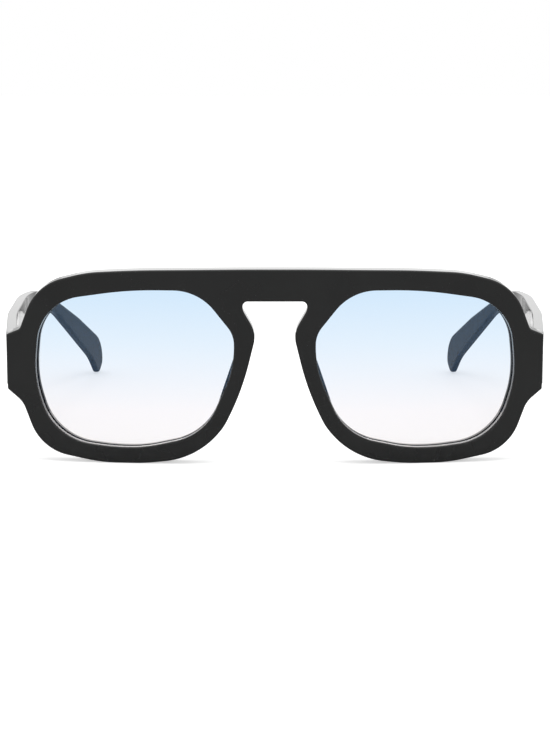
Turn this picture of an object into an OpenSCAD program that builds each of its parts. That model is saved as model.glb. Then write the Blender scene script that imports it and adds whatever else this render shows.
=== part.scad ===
// Square flat-top sunglasses: a keyhole-bridge front, two lenses and two folding temples.
// The wearer looks along -Y, so the wearer's left is +X. Up is +Z.
// They stand as on a table, on the bottoms of the rims and the tips of the temples, at z = 0.

/* [Front] */
// Distance between the two lens openings
bridge_w = 22.1; // [20.5:0.1:26]
// Width of a lens opening
lens_w = 54.6; // [50:0.1:60]
// Height of a lens opening
lens_h = 43.5; // [40:0.1:48]
// Height of the rim below a lens opening
rim_h = 4.5; // [3.8:0.1:6]
// Height of the brow above a lens opening
brow_h = 5.9; // [5:0.1:8]
// How far a lug reaches out past the lens opening
lug_w = 8; // [7.6:0.1:10]
// Height of a lug
lug_h = 15.2; // [14.4:0.1:17]
// Drop from the top of the brow to the top of a lug
lug_drop = 18.7; // [17.6:0.1:21]
// Thickness of the front from front to back
front_t = 5.5; // [5:0.1:7]
// Radius of the wrap of the front, seen from above
wrap_r = 450; // [350:10:900]

/* [Nose] */
// Width of the nose gap at its waist
nose_gap = 11.2; // [9.5:0.1:12.5]
// Width of the keyhole above the waist
keyhole_w = 18.2; // [16:0.1:19]
// Drop from the top of a lens opening to the top of the keyhole
keyhole_drop = 2.9; // [2:0.1:5]
// How far a nose pad stands out behind the rim
pad_depth = 7.2; // [5:0.1:10]
// Radius of a nose pad where it meets the rim
pad_base_r = 1.8; // [1.4:0.1:2.1]
// Radius of a nose pad at its rear edge
pad_edge_r = 1.2; // [0.8:0.1:1.7]

/* [Lenses] */
// Thickness of a lens
lens_t = 2; // [1.6:0.1:2.4]
// How far the face of a lens is set back behind the front face
lens_set = 1.75; // [1.2:0.05:2.4]
// How deep a lens goes into the groove of the rim
groove_depth = 0.8; // [0.5:0.05:1.2]

/* [Temples] */
// Reach of a temple from the front face to the back of its tip
temple_reach = 141.5; // [127:0.5:156]
// Thickness of a temple
temple_t = 2.8; // [2.6:0.1:4]
// Thickness of a temple at the point of its tip
tip_t = 1.8; // [1.4:0.1:2.6]
// How far a temple bows out past its hinged end
temple_bow = 4.3; // [3:0.1:6]
// How far the tip comes in past the hinged end
tip_in = 15.4; // [8:0.1:20]
// Height of a temple at its narrowest, just before the ear bend
stem_h = 8.2; // [6.6:0.1:10]
// How far out the lug flares to meet the temple
lug_flare = 0.7; // [0.3:0.1:1]
// How far the joint of lug and temple lies behind the rim's rear edge, at the lug
seam_set = 0.5; // [0.35:0.05:1.5]
// Width of the wire strip inside a temple
wire_h = 2; // [1.4:0.1:2.6]
// Thickness of the wire strip inside a temple
wire_t = 1; // [0.6:0.05:1.2]

/* [Hinges] */
// Radius of a hinge knuckle
knuckle_r = 1.5; // [1.3:0.05:1.8]
// Height of each of the five knuckles
knuckle_h = 1.6; // [1.3:0.05:1.7]
// Gap between one knuckle and the next
knuckle_gap = 0.06; // [0.04:0.01:0.1]
// Radius of the shank of the hinge screw
pin_r = 0.7; // [0.55:0.05:0.8]
// Thickness of the front leaf's plate
front_leaf_t = 1.2; // [0.9:0.05:1.4]
// Thickness of the temple leaf's plate
temple_leaf_t = 1; // [0.8:0.05:1.2]
// Length of the temple leaf behind the hinge axis
temple_leaf_len = 13; // [11:0.5:16]
// Radius of the shank of a leaf screw
leaf_screw_r = 0.6; // [0.4:0.05:0.7]
// Radius of the head of a leaf screw
leaf_head_r = 0.95; // [0.85:0.05:1.05]

/* [Clearances] */
// Running clearance round the hinge screw
run_gap = 0.05; // [0.03:0.01:0.08]
// Gap round a lens, a leaf, a screw or a wire in its seat
seat_gap = 0.05; // [0.03:0.01:0.1]
// Clearance between a knuckle and the part that turns past it
sweep_gap = 0.15; // [0.1:0.01:0.25]

/* [Hidden] */
$fn = 48;

black = [0.06, 0.065, 0.065];
lens_blue = [0.8, 0.9, 1, 0.4];
steel = [0.72, 0.72, 0.74];
brass = [0.78, 0.63, 0.34];

// Degrees turned by one facet of an outline's arc
arc_step = 7;
// How much longer than the body a cutting shape is made
past = 5;

// Edges of a lens opening, and of the whole front
in_x = bridge_w / 2;
mid_x = in_x + lens_w / 2;
out_x = in_x + lens_w;
top_z = rim_h + lens_h;
// The smaller of the lens's two sizes, in terms of its width, for what has to fit within both
lens_size = min(lens_w, 1.26 * lens_h);
brow_z = top_z + brow_h;
lug_x = out_x + lug_w;
lug_top = brow_z - lug_drop;
lug_bottom = lug_top - lug_h;
keyhole_z = top_z - keyhole_drop;
waist_z = keyhole_z - 8.7;
lug_mid = (lug_top + lug_bottom) / 2;

// The hinged end of a temple, and the flat rear face of the lug that it meets
seam_y = face_y(lug_x, front_t) + seam_set;
hinge_x = lug_x + lug_flare;
end_top = lug_top - 0.15;
end_bottom = lug_bottom;
bow_run = 33;
// Where the temple starts to bend down behind the ear, and where it bends again to its tip
bend_y = 0.656 * temple_reach;
knee_y = 0.858 * temple_reach;
bow_rise = temple_bow * 0.81;
bow_angle = atan2(bow_rise, bow_run);

// The hinge axis, one knuckle behind the seam and beside the temple's inner face
pivot_y = seam_y + knuckle_r + 0.1;
pivot_off = knuckle_r + 0.1;
pivot_x = hinge_x - temple_t + (pivot_y - seam_y) * tan(bow_angle) - pivot_off / cos(bow_angle);
level_h = knuckle_h + knuckle_gap;
barrel_h = 5 * knuckle_h + 4 * knuckle_gap;
screw_head_r = knuckle_r - 0.45;
screw_head_h = 0.5;

// The front leaf's plate, let into the rear of the lug
front_leaf_y = seam_y - 2;
front_leaf_in = 3;
front_leaf_out = 1.1;
front_leaf_h = barrel_h + 5;
front_screw_x = pivot_x - 1;
front_screw_z = barrel_h / 2 + 1.25;
front_screw_len = 3.8;
// The temple leaf's plate, let into the inner face of the temple
temple_leaf_x = pivot_off - 0.65;
temple_leaf_h = 8;
temple_screws = [5.5, 10.5];
temple_screw_len = 2.5;
countersink = 0.5;

// How far back the glasses reach, so that they can be centred on it
depth = max([for (p = temple_side()) p[0]]);

// Depth of the face at x, and of the surface that lies set behind it
function face_y(x, set = 0) = wrap_r - sqrt(pow(wrap_r - set, 2) - x * x);

// The corner before and the corner after corner i of a closed outline
function before(corners, i) = (i + len(corners) - 1) % len(corners);
function after(corners, i) = (i + 1) % len(corners);

function side(corners, i, j) = [corners[j][0] - corners[i][0], corners[j][1] - corners[i][1]];
function direction(corners, i, j) = side(corners, i, j) / norm(side(corners, i, j));

// Half the angle between the two sides that meet at corner i
function half_angle(corners, i) =
    acos(direction(corners, i, before(corners, i)) * direction(corners, i, after(corners, i))) / 2;

// How much of each of its sides the arc at corner i takes up
function taken(corners, i) = corners[i][2] / tan(half_angle(corners, i));

// The radius at corner i, less where its arc would otherwise run into a neighbour's
function fitting_r(corners, i) =
    let (a = before(corners, i), b = after(corners, i))
    corners[i][2] * min(
        1,
        norm(side(corners, i, a)) / (taken(corners, i) + taken(corners, a)),
        norm(side(corners, i, b)) / (taken(corners, i) + taken(corners, b))
    );

// The points of a true arc of radius r that rounds corner i
function corner_arc(corners, i, r) =
    let (
        u = direction(corners, i, before(corners, i)),
        w = direction(corners, i, after(corners, i)),
        half = half_angle(corners, i),
        tip = [corners[i][0], corners[i][1]],
        mid = tip + (u + w) / norm(u + w) * r / sin(half),
        from = tip + u * r / tan(half) - mid,
        to = tip + w * r / tan(half) - mid,
        start = atan2(from[1], from[0]),
        turn = (atan2(to[1], to[0]) - start + 540) % 360 - 180,
        steps = max(2, ceil(abs(turn) / arc_step))
    )
    [for (k = [0:steps]) mid + r * [cos(start + turn * k / steps), sin(start + turn * k / steps)]];

// The closed outline through corners [x, y, radius]; a radius of 0 is a sharp corner
function rounded(corners) =
    [for (i = [0:len(corners) - 1])
        each corners[i][2] == 0
            ? [[corners[i][0], corners[i][1]]]
            : corner_arc(corners, i, fitting_r(corners, i))];

// The corners of an outline without hollows after every side has moved out by grow
function grown(corners, grow) =
    [for (i = [0:len(corners) - 1])
        let (
            both = direction(corners, i, before(corners, i)) + direction(corners, i, after(corners, i)),
            out = both / norm(both) * grow / sin(half_angle(corners, i))
        )
        [corners[i][0] - out[0], corners[i][1] - out[1], corners[i][2] + grow]];

function mirrored(corners) =
    [for (i = [len(corners) - 1:-1:0]) [-corners[i][0], corners[i][1], corners[i][2]]];

// A corner placed by its share of a lens opening's width and height, from the inner lower corner
// outwards and up, and rounded by a share of the opening's size
function on_lens(share_x, share_z, share_r) =
    [in_x + share_x * lens_w, rim_h + share_z * lens_h, share_r * lens_size];

// Half of the front's contour as [x, z, radius], from the brow round the lug to the keyhole
function front_half() = [
    [0.18 * lens_w, brow_z, 18 * lens_size],
    [in_x + 0.494 * lens_w, brow_z - 0.42, 5 * lens_size],
    [out_x - 0.268 * lens_w, brow_z - 1.2, 0.62 * lens_size],
    [out_x - 0.45, brow_z - 4.85, 0.268 * lens_size],
    [out_x + 4.2, lug_top + 1.6, 1.6],
    [lug_x, lug_top, 0.6],
    [lug_x - 0.15, lug_bottom, 0.7],
    [out_x + 3.65, lug_bottom - 3.55, 7],
    [out_x - 1.2, 3.3, 0.245 * lens_size],
    [out_x - 0.33 * lens_w, 0, 0.81 * lens_size],
    [in_x + 0.456 * lens_w, 0, 0.947 * lens_size],
    [in_x + 0.194 * lens_w, 0.344 * rim_h, 0.41 * lens_size],
    [in_x + 0.053 * lens_w, rim_h + 0.132 * lens_h, 0.323 * lens_size],
    [in_x - 2.15, rim_h + 0.371 * lens_h, 1.37 * lens_size],
    [nose_gap / 2 - 0.6, waist_z, 7.5],
    [keyhole_w / 2 - 0.6, keyhole_z - 2.7, 4],
    [keyhole_w / 2, keyhole_z, 1.4]
];

// A lens opening's contour, from its inner top corner
function opening_corners() = [
    on_lens(0.179, 1, 0.26),
    on_lens(0.529, 1, 1.86),
    on_lens(0.97, 0.915, 0.254),
    on_lens(1, 0.561, 0.733),
    on_lens(1, 0.407, 0.513),
    on_lens(0.912, 0.046, 0.293),
    on_lens(0.608, 0, 1.1),
    on_lens(0.458, 0, 0.696),
    on_lens(0.153, 0.0835, 0.293),
    on_lens(0, 0.513, 0.513),
    on_lens(0.003, 0.722, 0.137)
];

// A temple's side view as [y, z, radius], from the hinged end over the ear bend to the tip
function temple_side() =
    rounded([
        [seam_y + seat_gap, end_top, 0],
        [bend_y, end_top, 32],
        [knee_y, 0.615 * end_top, 24],
        [temple_reach, 0.3 * end_top, 9.5],
        [temple_reach, 0.086 * end_top, 3.2],
        [temple_reach - 2.9, 0, 0.9],
        [temple_reach - 4, 0, 1.1],
        [temple_reach - 9.2, 0.174 * end_top, 16],
        [bend_y + 6, end_top - 0.737 * stem_h, 26],
        [0.495 * temple_reach, end_top - 1.05 * stem_h, 60],
        [seam_y + seat_gap, end_bottom, 0]
    ]);

// The outer face of a temple seen from above as [y, x, radius]
function bow_corners() = [
    [seam_y, hinge_x, 0],
    [seam_y + bow_run, hinge_x + bow_rise, 120],
    [0.57 * temple_reach, hinge_x + temple_bow, 46],
    [temple_reach + 2, hinge_x - tip_in, 0]
];

// A band that follows the bow, from one distance inside the outer face to another
function bow_band(near, far, far_tip) =
    let (c = bow_corners())
    rounded(concat(
        [for (p = c) [p[0], p[1] - near, p[2]]],
        [for (i = [3:-1:0]) [c[i][0], c[i][1] - (i == 3 ? far_tip : far), c[i][2]]]
    ));

// The space between two surfaces of the wrapped front
module wrap_layer(near, far) {
    translate([0, wrap_r, -past])
        difference() {
            cylinder(r = wrap_r - near, h = brow_z + 2 * past, $fn = 360);
            cylinder(r = wrap_r - far, h = brow_z + 2 * past, $fn = 360);
        }
}

// A flat x-z outline made into a block that runs back from y = -past
module block_back(len_y) {
    translate([0, len_y, 0])
        rotate([90, 0, 0])
            linear_extrude(len_y + past)
                children();
}

// A y-z outline made into a slab across x, and a y-x outline made into a slab up z
module slab_across(x0, x1) {
    translate([x0, 0, 0])
        rotate([90, 0, 90])
            linear_extrude(x1 - x0)
                children();
}

module slab_up(z0, z1) {
    translate([0, 0, z0])
        mirror([1, -1, 0])
            linear_extrude(z1 - z0)
                children();
}

// Puts everything in the part's own frame, centred over its footprint
module centred() {
    translate([0, -depth / 2, 0])
        children();
}

// Puts what is modelled on the wearer's left on both sides
module both_sides() {
    children();
    mirror([1, 0, 0])
        children();
}

// A leaf's own frame: the hinge axis at mid height, y' along the temple
module at_hinge(angle = 0) {
    translate([pivot_x, pivot_y, lug_mid])
        rotate([0, 0, -angle])
            children();
}

// The outline of a lens opening made into a block that goes through the front square to its wrap
module through_lens(grow = 0) {
    translate([mid_x, face_y(mid_x), 0])
        rotate([0, 0, asin(mid_x / wrap_r)])
            translate([-mid_x, 0, 0])
                block_back(seam_y + past)
                    polygon(rounded(grown(opening_corners(), grow)));
}

// The block behind the lug whose flat rear face meets the temple
module end_piece() {
    block_in = pivot_x + front_leaf_out + seat_gap;
    translate([0, 0, end_bottom])
        linear_extrude(end_top - end_bottom)
            polygon([
                [block_in, face_y(block_in, front_t) - 1],
                [lug_x - 0.2, face_y(lug_x) + 0.5],
                [hinge_x, seam_y],
                [block_in, seam_y]
            ]);
}

// The seat that the front leaf's plate drops into
module front_leaf_seat() {
    translate([-front_leaf_in - seat_gap, front_leaf_y - pivot_y - seat_gap, -front_leaf_h / 2 - seat_gap])
        cube([front_leaf_in + front_leaf_out + 2 * seat_gap, past, front_leaf_h + 2 * seat_gap]);
}

module front_screw_places() {
    for (side = [-1, 1])
        translate([front_screw_x, front_leaf_y + front_leaf_t, lug_mid + side * front_screw_z])
            rotate([90, 0, 0])
                children();
}

module temple_screw_places() {
    at_hinge(bow_angle)
        for (run = temple_screws)
            translate([temple_leaf_x, run, 0])
                rotate([0, 90, 0])
                    children();
}

// A countersunk screw, or the hole for one when it is grown by a clearance
module countersunk(length, grow = 0) {
    cylinder(r = leaf_screw_r + grow, h = length + grow);
    translate([0, 0, -grow])
        cylinder(r1 = leaf_head_r + grow, r2 = leaf_screw_r + grow, h = countersink + grow);
}

module leaf_screw(length) {
    difference() {
        countersunk(length);
        translate([-leaf_head_r, -0.15, -0.01])
            cube([2 * leaf_head_r, 0.3, 0.26]);
    }
}

// One of the five knuckles, counted from the bottom
module knuckle(level, grow = 0, grow_z = 0) {
    translate([0, 0, -barrel_h / 2 + level * level_h - grow_z])
        cylinder(r = knuckle_r + grow, h = knuckle_h + 2 * grow_z);
}

module pin_bore() {
    translate([0, 0, -barrel_h])
        cylinder(r = pin_r + run_gap, h = 2 * barrel_h);
}

module front_frame() {
    color(black)
        centred()
            difference() {
                union() {
                    intersection() {
                        block_back(seam_y + past)
                            polygon(rounded(concat(front_half(), mirrored(front_half()))));
                        wrap_layer(0, front_t);
                    }
                    both_sides()
                        end_piece();
                }
                both_sides() {
                    through_lens();
                    intersection() {
                        through_lens(groove_depth + seat_gap);
                        wrap_layer(lens_set - seat_gap, lens_set + lens_t + seat_gap);
                    }
                    at_hinge()
                        front_leaf_seat();
                    front_screw_places()
                        countersunk(front_screw_len, seat_gap);
                }
            }
}

module left_lens() {
    color(lens_blue)
        centred()
            intersection() {
                through_lens(groove_depth);
                wrap_layer(lens_set, lens_set + lens_t);
            }
}

module left_nose_pad() {
    rear_y = face_y(in_x, front_t);
    color(black)
        centred()
            intersection() {
                hull() {
                    translate([nose_gap / 2 + 3.2, rear_y, rim_h + 0.6 * lens_h])
                        sphere(r = pad_base_r, $fn = 32);
                    translate([in_x + 3.2, rear_y, rim_h + 0.23 * lens_h])
                        sphere(r = pad_base_r, $fn = 32);
                    translate([in_x - 0.85, rear_y + pad_depth - pad_edge_r, rim_h + 0.499 * lens_h])
                        sphere(r = pad_edge_r, $fn = 32);
                    translate([in_x + 3.5, rear_y + pad_depth - pad_edge_r, rim_h + 0.232 * lens_h])
                        sphere(r = pad_edge_r, $fn = 32);
                }
                translate([0, wrap_r, 0])
                    cylinder(r = wrap_r - front_t, h = brow_z, $fn = 360);
            }
}

module left_temple() {
    color(black)
        centred()
            difference() {
                intersection() {
                    slab_across(0, hinge_x + 2 * temple_bow)
                        polygon(temple_side());
                    slab_up(-past, brow_z)
                        polygon(bow_band(0, temple_t, tip_t));
                }
                at_hinge(bow_angle)
                    translate([-past, -seat_gap, -temple_leaf_h / 2 - seat_gap])
                        cube([
                            past + temple_leaf_x + temple_leaf_t + seat_gap,
                            temple_leaf_len + 2 * seat_gap,
                            temple_leaf_h + 2 * seat_gap
                        ]);
                temple_screw_places()
                    countersunk(temple_screw_len, seat_gap);
                wire_shape(seat_gap);
            }
}

// The strip inside a temple, from behind the leaf to short of the tip, or its channel
module wire_shape(grow = 0) {
    first = pivot_y + temple_leaf_len + 2;
    last = knee_y - 1;
    mid_z = end_top - 0.51 * stem_h;
    last_z = 0.517 * end_top;
    half_h = wire_h / 2 + grow;
    near = (temple_t - wire_t) / 2 - grow;
    intersection() {
        slab_across(0, hinge_x + 2 * temple_bow)
            polygon(rounded([
                [first - grow, mid_z + half_h, 0],
                [bend_y + 2.5, mid_z + half_h, 16],
                [last + grow, last_z + half_h, 0],
                [last + grow, last_z - half_h, 0],
                [bend_y + 2.5, mid_z - half_h, 18],
                [first - grow, mid_z - half_h, 0]
            ]));
        slab_up(-past, brow_z)
            polygon(bow_band(near, near + wire_t + 2 * grow, near + wire_t + 2 * grow));
    }
}

module left_core_wire() {
    color(steel)
        centred()
            wire_shape();
}

module left_front_leaf() {
    color(steel)
        centred()
            difference() {
                at_hinge()
                    difference() {
                        union() {
                            translate([-front_leaf_in, front_leaf_y - pivot_y, -front_leaf_h / 2])
                                cube([front_leaf_in + front_leaf_out, front_leaf_t, front_leaf_h]);
                            for (level = [0, 2, 4]) {
                                knuckle(level);
                                translate([
                                    -knuckle_r,
                                    front_leaf_y - pivot_y + front_leaf_t / 2,
                                    -barrel_h / 2 + level * level_h
                                ])
                                    cube([
                                        knuckle_r + front_leaf_out,
                                        pivot_y - front_leaf_y - front_leaf_t / 2 - knuckle_r / 2,
                                        knuckle_h
                                    ]);
                            }
                        }
                        pin_bore();
                        translate([0, 0, barrel_h / 2 - screw_head_h])
                            cylinder(r = screw_head_r + run_gap, h = past);
                    }
                front_screw_places()
                    countersunk(front_screw_len, seat_gap);
            }
}

module left_temple_leaf() {
    color(steel)
        centred()
            difference() {
                at_hinge(bow_angle)
                    difference() {
                        union() {
                            translate([temple_leaf_x, 0, -temple_leaf_h / 2])
                                cube([temple_leaf_t, temple_leaf_len, temple_leaf_h]);
                            for (level = [1, 3])
                                knuckle(level);
                        }
                        for (level = [0, 2, 4])
                            knuckle(level, sweep_gap, knuckle_gap);
                        pin_bore();
                    }
                temple_screw_places()
                    countersunk(temple_screw_len, seat_gap);
            }
}

module left_hinge_screw() {
    color(brass)
        centred()
            at_hinge()
                difference() {
                    union() {
                        translate([0, 0, -barrel_h / 2])
                            cylinder(r = pin_r, h = barrel_h);
                        translate([0, 0, barrel_h / 2 - screw_head_h])
                            cylinder(r = screw_head_r, h = screw_head_h);
                    }
                    translate([-screw_head_r, -0.15, barrel_h / 2 - 0.25])
                        cube([2 * screw_head_r, 0.3, 1]);
                }
}

module left_front_leaf_screws() {
    color(steel)
        centred()
            front_screw_places()
                leaf_screw(front_screw_len);
}

module left_temple_leaf_screws() {
    color(steel)
        centred()
            temple_screw_places()
                leaf_screw(temple_screw_len);
}

module right() {
    mirror([1, 0, 0])
        children();
}

module right_lens() { right() left_lens(); }
module right_nose_pad() { right() left_nose_pad(); }
module right_temple() { right() left_temple(); }
module right_core_wire() { right() left_core_wire(); }
module right_front_leaf() { right() left_front_leaf(); }
module right_temple_leaf() { right() left_temple_leaf(); }
module right_hinge_screw() { right() left_hinge_screw(); }
module right_front_leaf_screws() { right() left_front_leaf_screws(); }
module right_temple_leaf_screws() { right() left_temple_leaf_screws(); }

front_frame();
left_lens();
right_lens();
left_nose_pad();
right_nose_pad();
left_temple();
right_temple();
left_core_wire();
right_core_wire();
left_front_leaf();
right_front_leaf();
left_temple_leaf();
right_temple_leaf();
left_hinge_screw();
right_hinge_screw();
left_front_leaf_screws();
right_front_leaf_screws();
left_temple_leaf_screws();
right_temple_leaf_screws();
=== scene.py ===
"""Square sunglasses: their looks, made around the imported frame.

Sizes are in millimetres and in the places that part.scad gives them: x towards the wearer's left,
y back from the front face, z up from the table. in_frame() turns them into the frame's metres.
"""

import math

import bpy
import numpy as np
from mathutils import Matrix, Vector
from mathutils.geometry import delaunay_2d_cdt


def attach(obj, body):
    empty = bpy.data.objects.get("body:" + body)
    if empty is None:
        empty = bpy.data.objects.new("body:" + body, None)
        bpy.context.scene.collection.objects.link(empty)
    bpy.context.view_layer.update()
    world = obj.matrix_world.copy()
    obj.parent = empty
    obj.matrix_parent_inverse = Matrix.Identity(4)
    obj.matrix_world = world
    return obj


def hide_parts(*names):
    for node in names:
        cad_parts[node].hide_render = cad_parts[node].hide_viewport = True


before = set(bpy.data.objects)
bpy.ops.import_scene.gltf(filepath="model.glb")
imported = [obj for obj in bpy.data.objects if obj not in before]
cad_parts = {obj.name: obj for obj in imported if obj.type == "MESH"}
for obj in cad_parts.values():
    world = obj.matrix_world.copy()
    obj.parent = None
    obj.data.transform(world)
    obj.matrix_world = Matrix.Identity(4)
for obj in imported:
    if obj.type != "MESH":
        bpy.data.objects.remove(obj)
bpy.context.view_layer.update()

MM = 0.001

# The front
WRAP_R = 450.0
FRONT_T = 5.5
IN_X = 11.05
LENS_W = 54.6
LENS_H = 43.5
RIM_H = 4.5
BROW_H = 5.9
LUG_W = 8.0
LUG_H = 15.2
LUG_DROP = 18.7
LUG_FLARE = 0.7
# The share of the depth from which the lugs flare
LUG_FLARE_FROM = 0.3
NOSE_GAP = 11.2
KEYHOLE_W = 18.2
KEYHOLE_DROP = 2.9
WAIST_DROP = 8.7
OUT_X = IN_X + LENS_W
TOP_Z = RIM_H + LENS_H
BROW_Z = TOP_Z + BROW_H
LUG_X = OUT_X + LUG_W
LUG_TOP = BROW_Z - LUG_DROP
LUG_BOTTOM = LUG_TOP - LUG_H
LUG_MID = (LUG_TOP + LUG_BOTTOM) / 2
KEYHOLE_Z = TOP_Z - KEYHOLE_DROP
WAIST_Z = KEYHOLE_Z - WAIST_DROP
# Between these x, the front's rear face leaves the wrap for the flat end of the lug
LUG_TURN = (69.9, 71.2)

# The lenses and their grooves
LENS_T = 2.0
LENS_SET = 1.75
GROOVE = 0.8
SEAT_GAP = 0.05

# The temples
REACH = 141.5
TEMPLE_T = 2.8
TIP_T = 1.8
TIP_IN = 15.4
STEM_H = 8.2
BEND_Y = 0.656 * REACH
KNEE_Y = 0.858 * REACH
SEAM_SET = 0.5
END_TOP = LUG_TOP - 0.15
HINGE_X = LUG_X + LUG_FLARE
BOW = 4.3
BOW_RISE = 0.81 * BOW
BOW_RUN = 33.0
BOW_ANGLE = math.atan2(BOW_RISE, BOW_RUN)

# The hinges' leaves, which have seats in the lugs and the temples
PIVOT_OFF = 1.6
FRONT_LEAF_SET = 2.0
FRONT_LEAF_IN = 3.0
FRONT_LEAF_OUT = 1.1
FRONT_LEAF_H = 13.24
TEMPLE_LEAF_SET = 1.95
TEMPLE_LEAF_LEN = 13.0
TEMPLE_LEAF_H = 8.0
SEAT_R = 0.2

# The nose pads: radii and places (x, z) of both ends, at the rim and at the rear edge
PAD_DEPTH = 7.2
PAD_BASE_R = 1.8
PAD_EDGE_R = 1.2
PAD_TOP = ((NOSE_GAP / 2 + 3.2, RIM_H + 0.6 * LENS_H), (IN_X - 0.85, RIM_H + 0.499 * LENS_H))
PAD_FOOT = ((IN_X + 3.2, RIM_H + 0.23 * LENS_H), (IN_X + 3.5, RIM_H + 0.232 * LENS_H))

# Edge radii of the polished plastic. Between the two y of SWELL_ALONG, round the ear bend, the
# temples' edges get rounder, by TEMPLE_SWELL times their radius
FRONT_EDGE = 0.45
TEMPLE_EDGE = 0.3
TEMPLE_SWELL = 1.8
SWELL_ALONG = (0.85 * BEND_Y, 1.1 * BEND_Y)
LENS_EDGE = 0.15
# Broken edges of the metal parts
METAL_EDGE = 0.06

# Spacing of the points that fill the faces, and of those on the lugs along x and z, from an x on
FRONT_GRID = 2.2
LENS_GRID = 2.0
TEMPLE_GRID = 1.8
LUG_GRID = (0.5, 0.9)
LUG_GRID_FROM = 69.2
# The most that an arc turns from point to point
ARC_STEP = math.radians(5)


def face_y(x, depth=0.0):
    """How far back the wrapped face lies at x, and the surface that lies depth behind it."""
    return WRAP_R - np.sqrt((WRAP_R - depth) ** 2 - np.square(x))


SEAM_Y = face_y(LUG_X, FRONT_T) + SEAM_SET
PIVOT_Y = SEAM_Y + PIVOT_OFF
PIVOT_X = HINGE_X - TEMPLE_T + PIVOT_OFF * math.tan(BOW_ANGLE) - PIVOT_OFF / math.cos(BOW_ANGLE)


def in_frame(points):
    """Millimetres of the part's source to metres of the frame, whose origin is halfway back."""
    return (np.asarray(points) - (0, REACH / 2, 0)) * MM


def on_lens(share_x, share_z, share_r):
    """A corner of a lens opening, in shares of the lens's size."""
    return (IN_X + share_x * LENS_W, RIM_H + share_z * LENS_H, share_r * LENS_W)


def mirrored(corners):
    """The same corners on the other side of x = 0, in the order that goes on round the outline."""
    return [(-a, b, r) for a, b, r in reversed(corners)]


# Half of the front's outline, from the middle of the brow to the keyhole: (x, z, radius)
FRONT_HALF = [
    (0.18 * LENS_W, BROW_Z, 18 * LENS_W),
    (IN_X + 0.494 * LENS_W, BROW_Z - 0.42, 5 * LENS_W),
    (OUT_X - 0.268 * LENS_W, BROW_Z - 1.2, 0.62 * LENS_W),
    (OUT_X - 0.45, BROW_Z - 4.85, 0.268 * LENS_W),
    (OUT_X + 4.2, LUG_TOP + 1.6, 1.6),
    (LUG_X, LUG_TOP, 0.6),
    (LUG_X - 0.15, LUG_BOTTOM, 0.7),
    (OUT_X + 3.65, LUG_BOTTOM - 3.55, 7),
    (OUT_X - 1.2, 3.3, 0.245 * LENS_W),
    (OUT_X - 0.33 * LENS_W, 0, 0.81 * LENS_W),
    (IN_X + 0.456 * LENS_W, 0, 0.947 * LENS_W),
    (IN_X + 0.194 * LENS_W, 0.344 * RIM_H, 0.41 * LENS_W),
    (IN_X + 0.053 * LENS_W, RIM_H + 0.132 * LENS_H, 0.323 * LENS_W),
    (IN_X - 2.15, RIM_H + 0.371 * LENS_H, 1.37 * LENS_W),
    (NOSE_GAP / 2 - 0.6, WAIST_Z, 7.5),
    (KEYHOLE_W / 2 - 0.6, KEYHOLE_Z - 2.7, 4),
    (KEYHOLE_W / 2, KEYHOLE_Z, 1.4),
]

OPENING = [
    on_lens(0.179, 1, 0.26),
    on_lens(0.529, 1, 1.86),
    on_lens(0.97, 0.915, 0.254),
    on_lens(1, 0.561, 0.733),
    on_lens(1, 0.407, 0.513),
    on_lens(0.912, 0.046, 0.293),
    on_lens(0.608, 0, 1.1),
    on_lens(0.458, 0, 0.696),
    on_lens(0.153, 0.0835, 0.293),
    on_lens(0, 0.513, 0.513),
    on_lens(0.003, 0.722, 0.137),
]

# A temple from the side: (y, z, radius)
TEMPLE_SIDE = [
    (SEAM_Y + SEAT_GAP, END_TOP, 0.5),
    (BEND_Y, END_TOP, 32),
    (KNEE_Y, 0.615 * END_TOP, 60),
    (REACH, 0.3 * END_TOP, 10),
    (REACH, 0.086 * END_TOP, 3.5),
    (REACH - 3.5, -0.6, 1.9),
    (REACH - 9.2, 0.174 * END_TOP, 22),
    (BEND_Y + 6, END_TOP - 0.737 * STEM_H, 26),
    (0.495 * REACH, END_TOP - 1.05 * STEM_H, 60),
    (SEAM_Y + SEAT_GAP, LUG_BOTTOM, 0.5),
]

# A temple's faces from above, drawn a little past both its ends: (y, x, radius)
OUTER_CURVE = [
    (SEAM_Y - 5, HINGE_X - 5 * math.tan(BOW_ANGLE), 0),
    (SEAM_Y + BOW_RUN, HINGE_X + BOW_RISE, 120),
    (0.57 * REACH, HINGE_X + BOW, 46),
    (REACH + 2, HINGE_X - TIP_IN, 0),
]
THICKNESS = (TEMPLE_T, TEMPLE_T, TEMPLE_T, TIP_T)
INNER_CURVE = [(y, x - thick, r) for (y, x, r), thick in zip(OUTER_CURVE, THICKNESS)]


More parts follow.
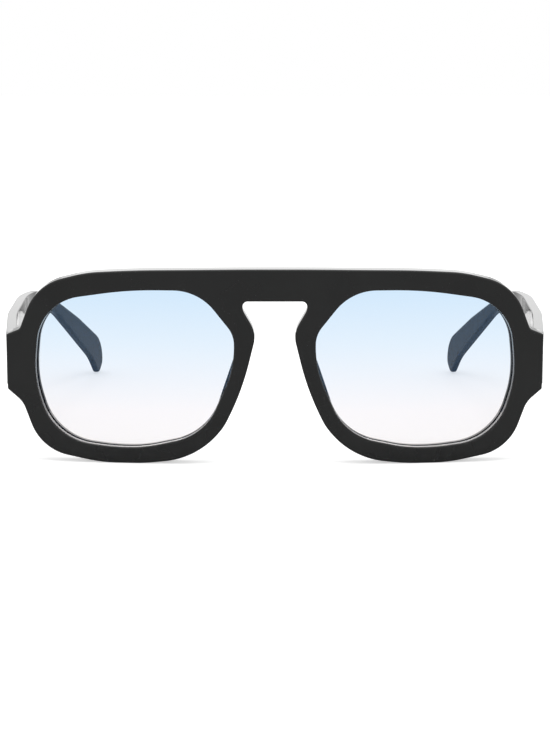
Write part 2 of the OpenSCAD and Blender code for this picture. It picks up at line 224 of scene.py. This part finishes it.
def outline(corners, step=1.0, closed=True):
    """Points round corners (a, b, radius), and the directions out of the solid on their left."""
    places = np.array([c[:2] for c in corners], float)
    ahead = np.roll(places, -1, axis=0) - places
    ahead /= np.linalg.norm(ahead, axis=1, keepdims=True)
    points, outward = [], []

    def put(point, direction):
        if not points or np.linalg.norm(point - points[-1]) > 1e-3:
            points.append(point)
            outward.append(direction)

    for i, (_, _, radius) in enumerate(corners):
        if not closed and i in (0, len(corners) - 1):
            put(places[i], np.array([ahead[i - 1][1], -ahead[i - 1][0]]))
            continue
        arrive, leave = ahead[i - 1], ahead[i]
        turn = math.atan2(arrive[0] * leave[1] - arrive[1] * leave[0], arrive @ leave)
        side = 1 if turn > 0 else -1
        first = np.array([arrive[1], -arrive[0]])
        start = places[i] - arrive * radius * math.tan(abs(turn) / 2)
        if points:
            gap = start - points[-1]
            pieces = int(np.linalg.norm(gap) // step) + 1
            for k in range(1, pieces):
                put(points[-1] + gap / pieces, first)
        centre = start - side * first * radius
        count = max(3, math.ceil(abs(turn) / ARC_STEP), math.ceil(abs(turn) * radius / step))
        for k in range(count + 1):
            c, s = math.cos(turn * k / count), math.sin(turn * k / count)
            direction = np.array([c * first[0] - s * first[1], s * first[0] + c * first[1]])
            put(centre + side * radius * direction, direction)
    if closed:
        gap = points[0] - points[-1]
        pieces = int(np.linalg.norm(gap) // step) + 1
        for k in range(1, pieces):
            put(points[-1] + gap / pieces, outward[0])
    return np.array(points), np.array(outward)


outer_points = outline(OUTER_CURVE, 0.5, closed=False)[0]
inner_points = outline(INNER_CURVE, 0.5, closed=False)[0]


def inside(flat, loop):
    """Which of the flat points lie inside a closed loop."""
    a, b = loop, np.roll(loop, -1, axis=0)
    x, y = flat[:, 0, None], flat[:, 1, None]
    crosses = (a[:, 1] > y) != (b[:, 1] > y)
    rise = np.where(b[:, 1] == a[:, 1], 1, b[:, 1] - a[:, 1])
    at = a[:, 0] + (y - a[:, 1]) * (b[:, 0] - a[:, 0]) / rise
    return (crosses & (x < at)).sum(axis=1) % 2 == 1


def smooth(value, low, high):
    """0 up to low, 1 from high on, and an even rise in between."""
    t = np.clip((value - low) / (high - low), 0, 1)
    return t * t * (3 - 2 * t)


def front_edge(radius, count=4):
    """The rounding from the front face to a wall, in the steps that Shell.wall() takes."""
    return [
        (radius * (1 - math.sin(g)), radius * (1 - math.cos(g)), math.sin(g), -math.cos(g))
        for g in np.linspace(0, math.pi / 2, count + 1)
    ]


def rear_edge(radius, total, count=4):
    """The rounding from a wall to the rear face, at this total depth."""
    return [(i, total - d, s, -n) for i, d, s, n in reversed(front_edge(radius, count))]


def steps(low, high, count):
    """Plain steps of a wall between two depths."""
    return [(0.0, d, 1, 0) for d in np.linspace(low, high, count + 1)[1:-1]]


def add_piece(name, places, faces, surface, directions=None):
    """Links a smooth mesh, with places in metres and a direction at every corner of a face."""
    mesh = bpy.data.meshes.new(name)
    mesh.from_pydata(places.tolist(), [], faces)
    mesh.shade_smooth()
    if directions is not None:
        mesh.normals_split_custom_set(directions.tolist())
    mesh.materials.append(surface)
    piece = bpy.data.objects.new(name, mesh)
    bpy.context.scene.collection.objects.link(piece)
    return piece


class Shell:
    """A closed skin in flat coordinates (a, b, depth), with a direction at every corner of a face.

    The near face, at depth 0, is seen with a to the right, b up and depth away from the eye.
    """

    def __init__(self):
        self.points, self.faces, self.directions = [], [], []

    def ring(self, flat, depth):
        first = len(self.points)
        depths = np.broadcast_to(depth, len(flat))
        self.points += [(a, b, d) for (a, b), d in zip(flat, depths)]
        return list(range(first, first + len(flat)))

    def face(self, corners, directions):
        self.faces.append(corners)
        self.directions += directions

    def wall(self, points, outward, strips, lean=0, swell=1, total=0):
        """Strips round an outline, each smooth along its own steps. Returns the end rings.

        A step (inset, depth, out, deep) is a place, and the shares of its direction outward and in
        depth. The wall leans in along a by lean for each millimetre of depth. Where it swells, the
        edges of a wall of this total depth are rounder by that share.
        """
        shift = np.stack([np.broadcast_to(lean, len(points)), np.zeros(len(points))], axis=1)
        slopes = (outward * shift).sum(axis=1)
        rings, last = [], None
        for strip in strips:
            before = None
            for inset, depth, out, deep in strip:
                if (inset, depth) == last:
                    ring = rings[-1]
                else:
                    near_half = 2 * depth < total
                    deeper = depth * swell if near_half else total - (total - depth) * swell
                    inward = outward * inset * np.reshape(swell, (-1, 1))
                    ring = self.ring(points - inward - shift * depth, deeper)
                    rings.append(ring)
                last = (inset, depth)
                facing = [
                    (a * out, b * out, deep + slope * out) for (a, b), slope in zip(outward, slopes)
                ]
                if before:
                    self.join(*before, ring, facing)
                before = (ring, facing)
        return rings[0], rings[-1]

    def join(self, near, near_facing, far, far_facing):
        for i in range(len(near)):
            j = (i + 1) % len(near)
            self.face(
                (near[i], far[i], far[j], near[j]),
                [near_facing[i], far_facing[i], far_facing[j], near_facing[j]],
            )

    def seat(self, low, high, depth, floor_depth, mirror=False):
        """A pocket between two corners, from this depth to a floor. Returns its mouth's ring."""
        corners = [(low[0], low[1]), (low[0], high[1]), (high[0], high[1]), (high[0], low[1])]
        corners = [(a, b, SEAT_R) for a, b in corners]
        points, outward = outline(mirrored(corners) if mirror else corners)
        mouth = self.ring(points, depth)
        floor = self.ring(points, floor_depth(points))
        facing = [(*o, 0) for o in outward]
        self.join(floor, facing, mouth, facing)
        self.face(tuple(floor[::-1]), [(0, 0, 1)] * len(floor))
        return mouth

    def fill(self, rings, depth, spacing, deep, extra=()):
        """Closes the space between an outer ring and the rings inside it, at one depth."""
        loops = [np.array([self.points[k][:2] for k in ring]) for ring in rings]
        edge = np.concatenate(loops)
        low, high = edge.min(axis=0), edge.max(axis=0)
        a, b = np.meshgrid(*(np.arange(low[k], high[k], spacing) for k in (0, 1)))
        a[1::2] += spacing / 2
        grid = np.stack([a.ravel(), b.ravel()], axis=1)
        if len(extra):
            grid = np.concatenate([grid, extra])
        keep = inside(grid, loops[0])
        for loop in loops[1:]:
            keep &= ~inside(grid, loop)
        grid = grid[keep]
        # Points close to an edge would make slivers
        gaps = np.min(np.linalg.norm(grid[:, None] - edge[None], axis=2), axis=1)
        grid = grid[gaps > 0.45 * spacing]
        known = [k for ring in rings for k in ring] + self.ring(grid, depth)
        flat = np.concatenate([edge, grid])
        sides, first = [], 0
        for ring in rings:
            count = len(ring)
            sides += [(first + k, first + (k + 1) % count) for k in range(count)]
            first += count
        found = delaunay_2d_cdt([Vector(p) for p in flat], sides, [], 1, 1e-7)
        names = [known[origin[0]] for origin in found[3]]
        corners = np.array([v[:] for v in found[0]])
        triangles = np.array(found[2])
        middles = corners[triangles].mean(axis=1)
        keep = inside(middles, loops[0])
        for loop in loops[1:]:
            keep &= ~inside(middles, loop)
        for p, q, r in triangles[keep]:
            (ax, ay), (bx, by), (cx, cy) = corners[p], corners[q], corners[r]
            left = (bx - ax) * (cy - ay) - (by - ay) * (cx - ax) > 0
            order = (p, q, r) if left == (deep < 0) else (p, r, q)
            self.face(tuple(names[k] for k in order), [(0, 0, deep)] * 3)

    def build(self, name, place, surface, mirror=False):
        """The mesh object, once place() has turned flat coordinates into places in millimetres."""
        flat = np.array(self.points)
        # The directions turn with the slopes of place(), found by small steps along each axis
        nudge = 0.02
        moves = [place(flat + nudge * axis) - place(flat - nudge * axis) for axis in np.eye(3)]
        bend = np.stack(moves, axis=1) / (2 * nudge)
        which = np.array([k for face in self.faces for k in face])
        facing = np.linalg.solve(bend[which], np.array(self.directions)[:, :, None])[:, :, 0]
        facing /= np.linalg.norm(facing, axis=1, keepdims=True)
        places = in_frame(place(flat))
        faces = self.faces
        if mirror:
            places = places * (-1, 1, 1)
            facing = facing * (-1, 1, 1)
            turned, start = [], 0
            for face in faces:
                turned.append(facing[start : start + len(face)][::-1])
                start += len(face)
            facing = np.concatenate(turned)
            faces = [face[::-1] for face in faces]
        faces = [tuple(int(k) for k in face) for face in faces]
        return add_piece(name, places, faces, surface, facing)


def place_front(flat):
    """Bends the flat front round its wrap, and takes the lugs out and back to the temples."""
    x, z, depth = flat.T
    share = depth / FRONT_T
    lug = smooth(np.abs(x), *LUG_TURN)
    y = face_y(x, depth) + lug * share**2 * (SEAM_Y - face_y(x, FRONT_T))
    flare = LUG_FLARE * smooth(np.abs(x), LUG_TURN[1], LUG_X) * smooth(share, LUG_FLARE_FROM, 1)
    return np.stack([x + np.sign(x) * flare, y, z], axis=1)


def place_lens(flat):
    """Bends the flat lens round the wrap, in its place behind the front face."""
    x, z, depth = flat.T
    return np.stack([x, face_y(x, depth + LENS_SET), z], axis=1)


def place_temple(flat):
    """Bends the flat temple along its bow and thins it towards the tip."""
    y, z, depth = flat.T
    outer = np.interp(y, *outer_points.T)
    inner = np.interp(y, *inner_points.T)
    return np.stack([outer + (inner - outer) * depth / TEMPLE_T, y, z], axis=1)


def math_node(tree, operation, *values):
    """A math node's output. Its inputs are numbers or other nodes' outputs."""
    node = tree.nodes.new("ShaderNodeMath")
    node.operation = operation
    for socket, value in zip(node.inputs, values):
        if isinstance(value, (int, float)):
            socket.default_value = value
        else:
            tree.links.new(value, socket)
    return node.outputs[0]


def ray_sum(tree, base, weights):
    """A base value, with a weight more for each of these kinds of ray."""
    rays = tree.nodes.new("ShaderNodeLightPath").outputs
    total = base
    for kind, weight in weights:
        total = math_node(tree, "MULTIPLY_ADD", rays[kind], weight, total)
    return total


class Surface:
    """A node material, built up by short calls."""

    def __init__(self, name):
        self.material = bpy.data.materials.new(name)
        self.material.use_nodes = True
        self.tree = self.material.node_tree
        self.nodes = self.tree.nodes
        self.links = self.tree.links
        self.shader = self.nodes["Principled BSDF"]
        self.place = self.nodes.new("ShaderNodeTexCoord").outputs["Object"]

    def set(self, **values):
        for name, value in values.items():
            self.shader.inputs[name.replace("_", " ")].default_value = value

    def link(self, output, socket):
        self.links.new(output, self.shader.inputs[socket])

    def coordinate(self, axis):
        """X, Y or Z of the place, in metres."""
        node = self.nodes.new("ShaderNodeSeparateXYZ")
        self.links.new(self.place, node.inputs["Vector"])
        return node.outputs[axis]

    def noise(self, scale, detail=2.0, stretch=None):
        node = self.nodes.new("ShaderNodeTexNoise")
        node.inputs["Scale"].default_value = scale
        node.inputs["Detail"].default_value = detail
        source = self.place
        if stretch:
            mapping = self.nodes.new("ShaderNodeMapping")
            mapping.inputs["Scale"].default_value = stretch
            self.links.new(source, mapping.inputs["Vector"])
            source = mapping.outputs["Vector"]
        self.links.new(source, node.inputs["Vector"])
        return node.outputs["Fac"]

    def ramp(self, value, stops):
        """Colours that go over into each other at these values."""
        node = self.nodes.new("ShaderNodeValToRGB")
        ramp = node.color_ramp
        while len(ramp.elements) < len(stops):
            ramp.elements.new(0.5)
        for element, (position, colour) in zip(ramp.elements, stops):
            element.position = position
            element.color = (*colour, 1)
        self.links.new(value, node.inputs["Fac"])
        return node.outputs["Color"]

    def spread(self, value, low, high, from_low=0.3, from_high=0.7):
        """Stretches from_low..from_high, where most of a noise lies, to low..high."""
        node = self.nodes.new("ShaderNodeMapRange")
        node.inputs["From Min"].default_value = from_low
        node.inputs["From Max"].default_value = from_high
        node.inputs["To Min"].default_value = low
        node.inputs["To Max"].default_value = high
        self.links.new(value, node.inputs["Value"])
        return node.outputs["Result"]

    def bump(self, value, strength, distance):
        node = self.nodes.new("ShaderNodeBump")
        node.inputs["Strength"].default_value = strength
        node.inputs["Distance"].default_value = distance
        self.links.new(value, node.inputs["Height"])
        self.link(node.outputs["Normal"], "Normal")


def black_plastic():
    """Polished black sheet plastic: faint clouds in the colour, buffing haze and slow waves."""
    s = Surface("black_plastic")
    s.set(IOR=1.5)
    clouds = [(0.35, (0.0125, 0.013, 0.013)), (0.65, (0.0155, 0.016, 0.0158))]
    s.link(s.ramp(s.noise(70, 3), clouds), "Base Color")
    s.link(s.spread(s.noise(350, 3), 0.05, 0.09), "Roughness")
    s.bump(s.noise(45, 1), 0.15, 0.0002)
    return s.material


def lens_plastic():
    """Clear plastic dyed blue, deepest at the brow and fading to clear at the lower rim."""
    s = Surface("blue_lens")
    s.set(IOR=1.5, Roughness=0.0, Transmission_Weight=1.0, Specular_Tint=(0.25, 0.55, 1.0, 1))
    level = s.spread(s.coordinate("Z"), 0, 1, RIM_H * MM, TOP_Z * MM)
    stops = [
        (0.0, (0.975, 0.96, 0.975)),
        (0.22, (0.965, 0.955, 0.99)),
        (0.65, (0.77, 0.88, 0.995)),
        (1.0, (0.64, 0.81, 0.985)),
    ]
    s.link(s.ramp(level, stops), "Base Color")
    return s.material


def metal(name, dark, light, roughness):
    """Tumbled hinge metal with fine brushing along it."""
    s = Surface(name)
    s.set(Metallic=1.0)
    s.link(s.ramp(s.noise(900, 3, (1, 1, 6)), [(0.3, dark), (0.7, light)]), "Base Color")
    s.link(s.spread(s.noise(2500, 2, (1, 1, 8)), roughness - 0.06, roughness + 0.08), "Roughness")
    s.bump(s.noise(4000, 2, (1, 1, 10)), 0.1, 0.00002)
    return s.material


plastic = black_plastic()
blue_lens = lens_plastic()
steel = metal("hinge_steel", (0.5, 0.5, 0.51), (0.66, 0.66, 0.67), 0.28)
brass = metal("screw_brass", (0.6, 0.47, 0.22), (0.74, 0.6, 0.32), 0.3)


def make_front():
    """The front, with a groove for each lens and a seat for each front leaf."""
    shell = Shell()
    near_edge, far_edge = front_edge(FRONT_EDGE), rear_edge(FRONT_EDGE, FRONT_T)
    contour = outline((FRONT_HALF + mirrored(FRONT_HALF))[::-1])
    between = steps(FRONT_EDGE, FRONT_T - FRONT_EDGE, 7)
    rings = [shell.wall(*contour, [near_edge + between + far_edge])]
    g0, g1 = LENS_SET - SEAT_GAP, LENS_SET + LENS_T + SEAT_GAP
    deep = GROOVE + SEAT_GAP
    grooved = [
        near_edge + [(0.0, g0, 1, 0)],
        [(0.0, g0, 0, 1), (deep, g0, 0, 1)],
        [(deep, g0, 1, 0), (deep, g1, 1, 0)],
        [(deep, g1, 0, -1), (0.0, g1, 0, -1)],
        [(0.0, g1, 1, 0)] + far_edge,
    ]
    for corners in (OPENING, mirrored(OPENING)):
        points, outward = outline(corners)
        rings.append(shell.wall(points, outward, grooved, points[:, 0] / WRAP_R))

    def leaf_floor(points):
        rear = place_front(np.column_stack([points, np.full(len(points), FRONT_T)]))[:, 1]
        return FRONT_T - (rear - (SEAM_Y - FRONT_LEAF_SET - SEAT_GAP))

    half = FRONT_LEAF_H / 2 + SEAT_GAP
    low = (PIVOT_X - FRONT_LEAF_IN - SEAT_GAP, LUG_MID - half)
    high = (PIVOT_X + FRONT_LEAF_OUT + SEAT_GAP, LUG_MID + half)
    mouths = [shell.seat(low, high, FRONT_T, leaf_floor, mirror) for mirror in (False, True)]
    shell.fill([near for near, far in rings], 0.0, FRONT_GRID, -1)
    # The rear of the lugs bends more, so it gets more points, and fill() drops those off the front
    a, b = np.meshgrid(
        np.arange(LUG_GRID_FROM, LUG_X + 0.2, LUG_GRID[0]),
        np.arange(LUG_BOTTOM - 3, LUG_TOP + 3, LUG_GRID[1]),
    )
    lug_points = np.stack([a.ravel(), b.ravel()], axis=1)
    lug_points = np.concatenate([lug_points, lug_points * (-1, 1)])
    shell.fill([far for near, far in rings] + mouths, FRONT_T, FRONT_GRID, 1, lug_points)
    return shell.build("front_frame_plastic", place_front, plastic)


def make_lens(side):
    """A lens, with its edge in the groove."""
    shell = Shell()
    points, outward = outline(OPENING[::-1])
    lean = points[:, 0] / WRAP_R
    points = points + outward * GROOVE
    points[:, 0] -= lean * LENS_SET
    wall = [front_edge(LENS_EDGE, 2) + rear_edge(LENS_EDGE, LENS_T, 2)]
    near, far = shell.wall(points, outward, wall, lean)
    shell.fill([near], 0.0, LENS_GRID, -1)
    shell.fill([far], LENS_T, LENS_GRID, 1)
    return shell.build(side + "_lens_sheet", place_lens, blue_lens, mirror=side == "right")


def make_temple(side):
    """A temple, with a seat for its leaf and edges that get rounder towards the ear."""
    shell = Shell()
    wall = [front_edge(TEMPLE_EDGE, 6) + rear_edge(TEMPLE_EDGE, TEMPLE_T, 6)]
    contour, outward = outline(TEMPLE_SIDE[::-1])
    swell = 1 + TEMPLE_SWELL * smooth(contour[:, 0], *SWELL_ALONG)
    near, far = shell.wall(contour, outward, wall, swell=swell, total=TEMPLE_T)
    shell.fill([near], 0.0, TEMPLE_GRID, -1)
    beside_pivot = TEMPLE_LEAF_SET + SEAT_GAP

    def leaf_floor(points):
        seat_x = PIVOT_X + beside_pivot / math.cos(BOW_ANGLE)
        seat_x = seat_x + (points[:, 0] - PIVOT_Y) * math.tan(BOW_ANGLE)
        return np.interp(points[:, 0], *outer_points.T) - seat_x

    half = TEMPLE_LEAF_H / 2 + SEAT_GAP
    low = (PIVOT_Y - beside_pivot * math.sin(BOW_ANGLE) - SEAT_GAP, LUG_MID - half)
    high = (PIVOT_Y + (TEMPLE_LEAF_LEN + SEAT_GAP) * math.cos(BOW_ANGLE), LUG_MID + half)
    mouth = shell.seat(low, high, TEMPLE_T, leaf_floor)
    shell.fill([far, mouth], TEMPLE_T, TEMPLE_GRID, 1)
    return shell.build(side + "_temple_plastic", place_temple, plastic, mirror=side == "right")


def make_pad(side):
    """A nose pad: a flat oval that leans out and tapers from the rim to its rounded rear edge."""
    base_y = float(face_y(IN_X, FRONT_T))
    top, foot = np.array(PAD_TOP), np.array(PAD_FOOT)
    straight = PAD_DEPTH - PAD_EDGE_R
    taper = PAD_EDGE_R - PAD_BASE_R
    levels = [(t, PAD_BASE_R + taper * t, straight * t) for t in np.linspace(0, 1, 9)]
    for g in np.linspace(0, math.pi / 2, 9)[1:-1]:
        levels.append((1.0, PAD_EDGE_R * math.cos(g), straight + PAD_EDGE_R * math.sin(g)))
    points, rings = [], []
    for t, radius, back in levels:
        a = top[0] + (top[1] - top[0]) * t
        b = foot[0] + (foot[1] - foot[0]) * t
        along = (b - a) / np.linalg.norm(b - a)
        across = np.array([-along[1], along[0]])
        loop = []
        for centre, other, sign in ((a, b, -1), (b, a, 1)):
            for g in np.linspace(-math.pi / 2, math.pi / 2, 13):
                spoke = sign * along * math.cos(g) + sign * across * math.sin(g)
                loop.append(centre + radius * spoke)
            start, end = loop[-1], other + (loop[-1] - centre)
            loop += [start + (end - start) * k / 10 for k in range(1, 10)]
        rings.append(range(len(points), len(points) + len(loop)))
        for x, z in loop:
            skin = float(face_y(x, FRONT_T))
            points.append((x, max(skin, base_y + back) if back else skin, z))
    faces = [tuple(rings[0][::-1]), tuple(rings[-1])]
    for near, far in zip(rings, rings[1:]):
        for i in range(len(near)):
            j = (i + 1) % len(near)
            faces.append((near[i], near[j], far[j], far[i]))
    places = in_frame(points)
    if side == "right":
        places = places * (-1, 1, 1)
        faces = [face[::-1] for face in faces]
    return add_piece(side + "_nose_pad_plastic", places, faces, plastic)


def put_on(piece, body, node):
    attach(piece, body)
    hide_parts(node)


put_on(make_front(), "front", "front_frame")
for side in ("left", "right"):
    put_on(make_lens(side), "front", side + "_lens")
    put_on(make_pad(side), "front", side + "_nose_pad")
    put_on(make_temple(side), side + "_side", side + "_temple")

# The hinges, their screws and the core wires keep their CAD shapes, with broken edges
for name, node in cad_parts.items():
    if "leaf" in name or "hinge" in name or "wire" in name:
        node.data.materials.clear()
        node.data.materials.append(brass if name.endswith("hinge_screw") else steel)
        broken = node.modifiers.new("broken_edges", "BEVEL")
        broken.width = METAL_EDGE * MM
        broken.segments = 2
        broken.limit_method = "ANGLE"
        broken.angle_limit = math.radians(40)
        broken.harden_normals = True

# The table keeps the shadow. To the camera, directly and through the lenses, it glows up to white
HALF_TABLE = 1.6
TABLE_COLOUR = 0.9
TABLE_GLOW = [("Is Camera Ray", 0.55), ("Is Transmission Ray", 0.6)]
# In the gloss of the plastic it is darker near the glasses. Behind them, between the two y of
# FAR_TABLE, it turns white, as the temples' inner faces mirror it. Rays that have passed a lens
# count as glossy too, and are kept out of the white
GLOSS_LOSS = 0.46
GLOSS_GLOW = 0.35
FAR_TABLE = (0.15, 0.17)

white = Surface("white_table")
white.set(Roughness=0.9, Specular_IOR_Level=0.0, Emission_Color=(1, 1, 1, 1))
rays = white.nodes.new("ShaderNodeLightPath").outputs
far = white.spread(white.coordinate("Y"), 0, 1, *FAR_TABLE)
far = math_node(white.tree, "SUBTRACT", far, rays["Transmission Depth"])
far = math_node(white.tree, "MAXIMUM", far, 0)
far_gloss = math_node(white.tree, "MULTIPLY", rays["Is Glossy Ray"], far)
near_gloss = math_node(white.tree, "SUBTRACT", rays["Is Glossy Ray"], far_gloss)
colour = math_node(white.tree, "MULTIPLY_ADD", near_gloss, -GLOSS_LOSS, TABLE_COLOUR)
white.link(colour, "Base Color")
glow = ray_sum(white.tree, 0, TABLE_GLOW)
white.link(math_node(white.tree, "MULTIPLY_ADD", far_gloss, GLOSS_GLOW, glow), "Emission Strength")

table_corners = np.array([(-1, -1, 0), (1, -1, 0), (1, 1, 0), (-1, 1, 0)]) * HALF_TABLE
table = add_piece("table_top", table_corners, [(0, 1, 2, 3)], white.material)

# Plain surroundings: white to the camera, a little less in gloss, and softer for everything else
world = bpy.data.worlds.new("studio")
bpy.context.scene.world = world
world.use_nodes = True
WORLD_LEVEL = 0.55
WORLD_GLOW = [("Is Camera Ray", 0.45), ("Is Transmission Ray", 0.45), ("Is Glossy Ray", 0.2)]
backdrop = world.node_tree.nodes["Background"].inputs
backdrop["Color"].default_value = (1, 1, 1, 1)
world.node_tree.links.new(ray_sum(world.node_tree, WORLD_LEVEL, WORLD_GLOW), backdrop["Strength"])


def softbox(name, place, aim, size, power):
    """A soft lamp, in metres and watts, that faces the aim."""
    lamp = bpy.data.lights.new(name, "AREA")
    lamp.shape = "RECTANGLE"
    lamp.size, lamp.size_y = size
    lamp.energy = power
    box = bpy.data.objects.new(name, lamp)
    box.location = place
    box.rotation_euler = (Vector(aim) - Vector(place)).to_track_quat("-Z", "Y").to_euler()
    bpy.context.scene.collection.objects.link(box)


softbox("softbox_above", place=(0.0, -0.1, 1.2), aim=(0, 0, 0), size=(1.2, 1.2), power=7.0)
softbox("softbox_behind", place=(0.0, 1.3, 0.45), aim=(0, 0, 0.03), size=(2.2, 0.6), power=3.7)

# The camera, worked out from the photograph: its distance from its target, and its look downwards
VIEW_DISTANCE = 600.0
VIEW_DOWN = math.radians(10.4)
VIEW_TARGET = (0.04, 0.0, 27.35)
FOCAL_PIXELS = 2207.5
TALL_PIXELS = 733
SENSOR = 36.0
view = bpy.data.cameras.new("photo_view")
view.sensor_fit = "AUTO"
view.sensor_width = SENSOR
view.lens = FOCAL_PIXELS * SENSOR / TALL_PIXELS
view.clip_start = 0.01
camera = bpy.data.objects.new("photo_view", view)
back = np.array([0, -math.cos(VIEW_DOWN), math.sin(VIEW_DOWN)])
camera.location = in_frame(np.array(VIEW_TARGET) + VIEW_DISTANCE * back)
camera.rotation_euler = (math.pi / 2 - VIEW_DOWN, 0, 0)
bpy.context.scene.collection.objects.link(camera)
bpy.context.scene.camera = camera
bpy.context.scene.view_settings.view_transform = "Standard"
